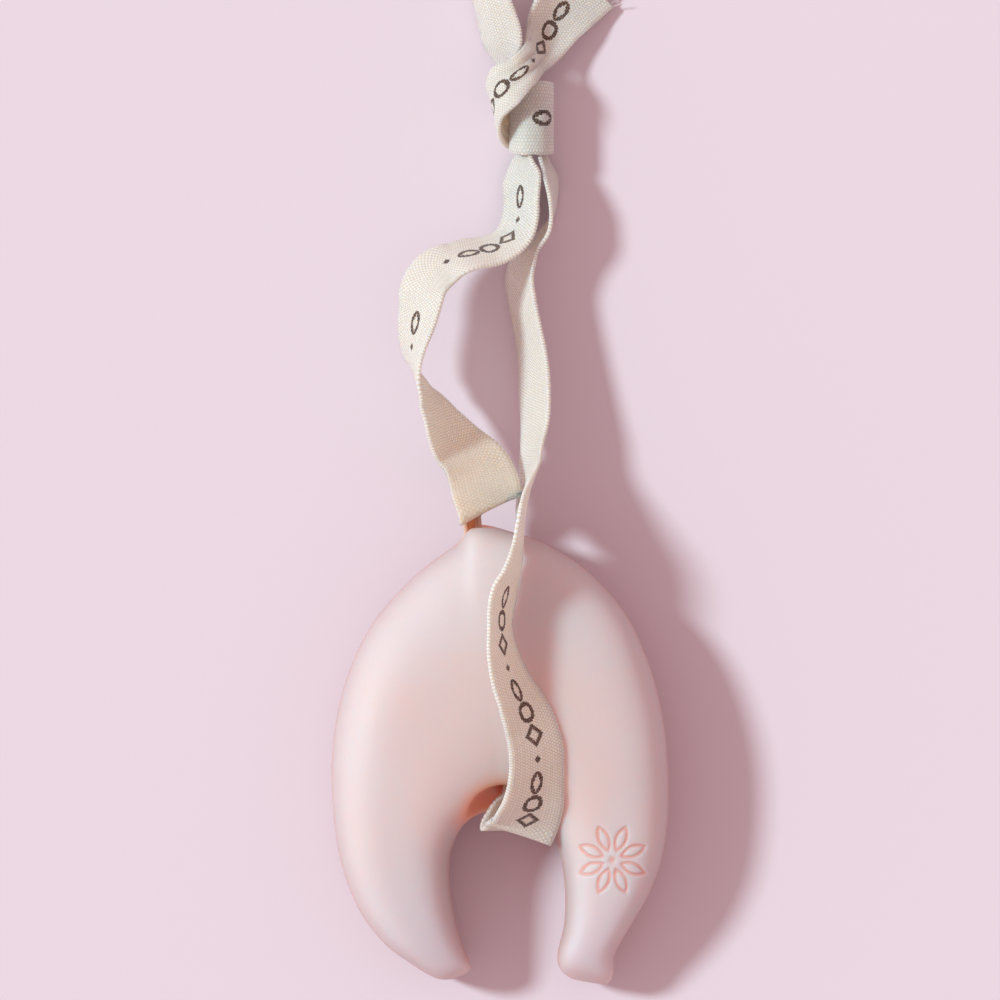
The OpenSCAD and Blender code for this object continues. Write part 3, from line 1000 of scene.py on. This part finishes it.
# %% Weave finish
LIGHT_COTTON = (0.845, 0.80, 0.765)
WEAVE_SHADE_AND_SPECKLE = (0.64, 0.55, 0.46)
PAINTED_SHADE_COTTON = (0.66, 0.47, 0.36)
GLOW_RED = (0.80, 0.40, 0.31)
INK = (0.05, 0.024, 0.018)
YARN = 0.7


def cloth_finish(name, printed):
    shader = Shader(
        name,
        Roughness=0.85,
        Sheen_Weight=0.15,
        Sheen_Roughness=0.5,
        Subsurface_Weight=0.9,
        Subsurface_Radius=(1.0, 0.75, 0.55),
        Subsurface_Scale=0.004,
    )
    weave = shader.node("ShaderNodeUVMap", {"uv_map": "weave"}).outputs[0]
    flat = shader.node("ShaderNodeSeparateXYZ", {}, {0: weave}).outputs
    along = Value(shader, flat["X"])
    across = Value(shader, flat["Y"])
    column = across / YARN
    odd = column.math("FLOOR").math("MODULO", 2).math("ABSOLUTE")
    pick = ((along / RIB + odd * 0.5) * math.pi).math("SINE").math("ABSOLUTE")
    warp = (column * math.pi).math("SINE").math("ABSOLUTE")
    yarn = pick * (0.35 + warp * 0.65)
    place = shader.place()
    speckle = shader.noise(place, 1400, 3)
    # painted shade where the yarns lie deep; the next line adds a random darker speckle
    colour = shader.mix(yarn.between(0.1, 0.9), WEAVE_SHADE_AND_SPECKLE, LIGHT_COTTON)
    colour = shader.mix(speckle.between(0.5, 0.75) * 0.4, colour, WEAVE_SHADE_AND_SPECKLE)
    # painted shade: browner cloth near the bar; painted red glow where the tape lies in the channel
    soaked = shader.attribute("soaked")
    colour = shader.mix(soaked.between(0, 0.6) * 0.6, colour, PAINTED_SHADE_COTTON)
    colour = shader.mix(soaked.between(0.6, 1), colour, GLOW_RED)
    if printed:
        ink = printed_motifs(shader, along, across)
        worn = yarn.between(0.12, 0.5) * shader.noise(place, 2600, 2).between(0.3, 0.5)
        colour = shader.mix(ink * (0.8 + worn * 0.2), colour, INK)
    shader.set("Base Color", colour)
    shader.bump(yarn, 0.00016, 0.8)
    return shader.material


print("a pick every", RIB, "mm and a yarn every", YARN, "mm")

# %% Stretches of the tape
# First motif of each printed stretch, counted from the tape's first end, and the first one left out
PRINTED_CELLS = [(9, 15), (17, 19), (43, 54), (81, 83), (86, 94)]
# Millimetres along the tape, and how much painted light the cloth gets there: painted brown shade
# near the bar, and a painted red glow in the channel
PAINTED_SHADE_GLOW = [
    (104, 0), (118, 0.15), (130, 0.4), (146, 0.6), (150, 1),
    (206, 1), (211, 0.2), (235, 0.1), (262, 0),
]


def mark_stretches(piece):
    """Stores which stretches of the tape carry print, and how much painted shade and glow each gets."""
    mesh = piece.data
    printed = mesh.attributes.new("printed", "FLOAT", "POINT")
    lengths = np.tile(np.linspace(0, TAPE_LENGTH, ALONG_STEPS + 1), ACROSS_STEPS + 1)
    marks = np.zeros(len(mesh.vertices), np.float32)
    for first, last in PRINTED_CELLS:
        marks[(lengths >= first * MOTIF_PITCH) & (lengths <= last * MOTIF_PITCH)] = 1
    printed.data.foreach_set("value", marks)
    soaked = mesh.attributes.new("soaked", "FLOAT", "POINT")
    soaked.data.foreach_set("value", np.interp(lengths, *zip(*PAINTED_SHADE_GLOW)).astype(np.float32))
    return float(marks.mean())


print("printed share", round(mark_stretches(tape), 2))
tape.data.materials.append(cloth_finish("tape_face", True))
tape.data.materials.append(cloth_finish("tape_back", False))
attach(tape, "root")
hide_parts("hanging_tape")
print("cloth finish on", tape.name)

# %% [markdown]
# The cut ends.
# Where woven tape is cut and not hemmed, its last picks fall out and the warp yarns stand free, each
# bent its own way. They are thin tubes that start inside the cloth's edge and wander outwards.

# %% Frayed ends
THREADS = 34
THREAD_RADIUS = 0.13
THREAD_STEPS = 5
THREAD_BEND = 0.35
THREAD_LENGTHS = (1.6, 4.2)
END_REACH = 6


def thread(bm, start, ahead, length):
    turn = ahead.to_track_quat("Z", "Y").to_matrix().to_4x4()
    matrix = Matrix.Translation(start) @ turn
    ring = bmesh.ops.create_circle(
        bm, cap_ends=True, segments=5, radius=THREAD_RADIUS * MM, matrix=matrix,
    )["verts"]
    edges = list(dict.fromkeys(edge for vert in ring for edge in vert.link_edges))
    way = ahead.copy()
    for _ in range(THREAD_STEPS):
        grown = bmesh.ops.extrude_edge_only(bm, edges=edges)["geom"]
        way += Vector([random.uniform(-THREAD_BEND, THREAD_BEND) for _ in range(3)])
        way.normalize()
        verts = [part for part in grown if isinstance(part, bmesh.types.BMVert)]
        bmesh.ops.translate(bm, verts=verts, vec=way * length / THREAD_STEPS)
        edges = [part for part in grown if isinstance(part, bmesh.types.BMEdge) and part.is_boundary]
    bmesh.ops.contextual_create(bm, geom=edges)


def frayed_ends():
    points = cloth_points()
    bm = bmesh.new()
    for last, before in ((0, END_REACH), (-1, -1 - END_REACH)):
        ahead = Vector((points[last] - points[before]).mean(axis=0)).normalized()
        for number in range(THREADS):
            share = (number + random.uniform(0.2, 0.8)) / THREADS * ACROSS_STEPS
            column = min(int(share), ACROSS_STEPS - 1)
            first = Vector(points[last, column])
            start = first.lerp(Vector(points[last, column + 1]), share - column) - ahead * 0.5 * MM
            thread(bm, start, ahead, random.uniform(*THREAD_LENGTHS) * MM)
    bmesh.ops.recalc_face_normals(bm, faces=bm.faces)
    for face in bm.faces:
        face.smooth = True
    return bm


threads = as_object(frayed_ends(), "tape_threads")
threads.data.materials.append(tape.data.materials[1])
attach(threads, "root")
print(2 * THREADS, "threads")

# %% [markdown] Sizes and finish.
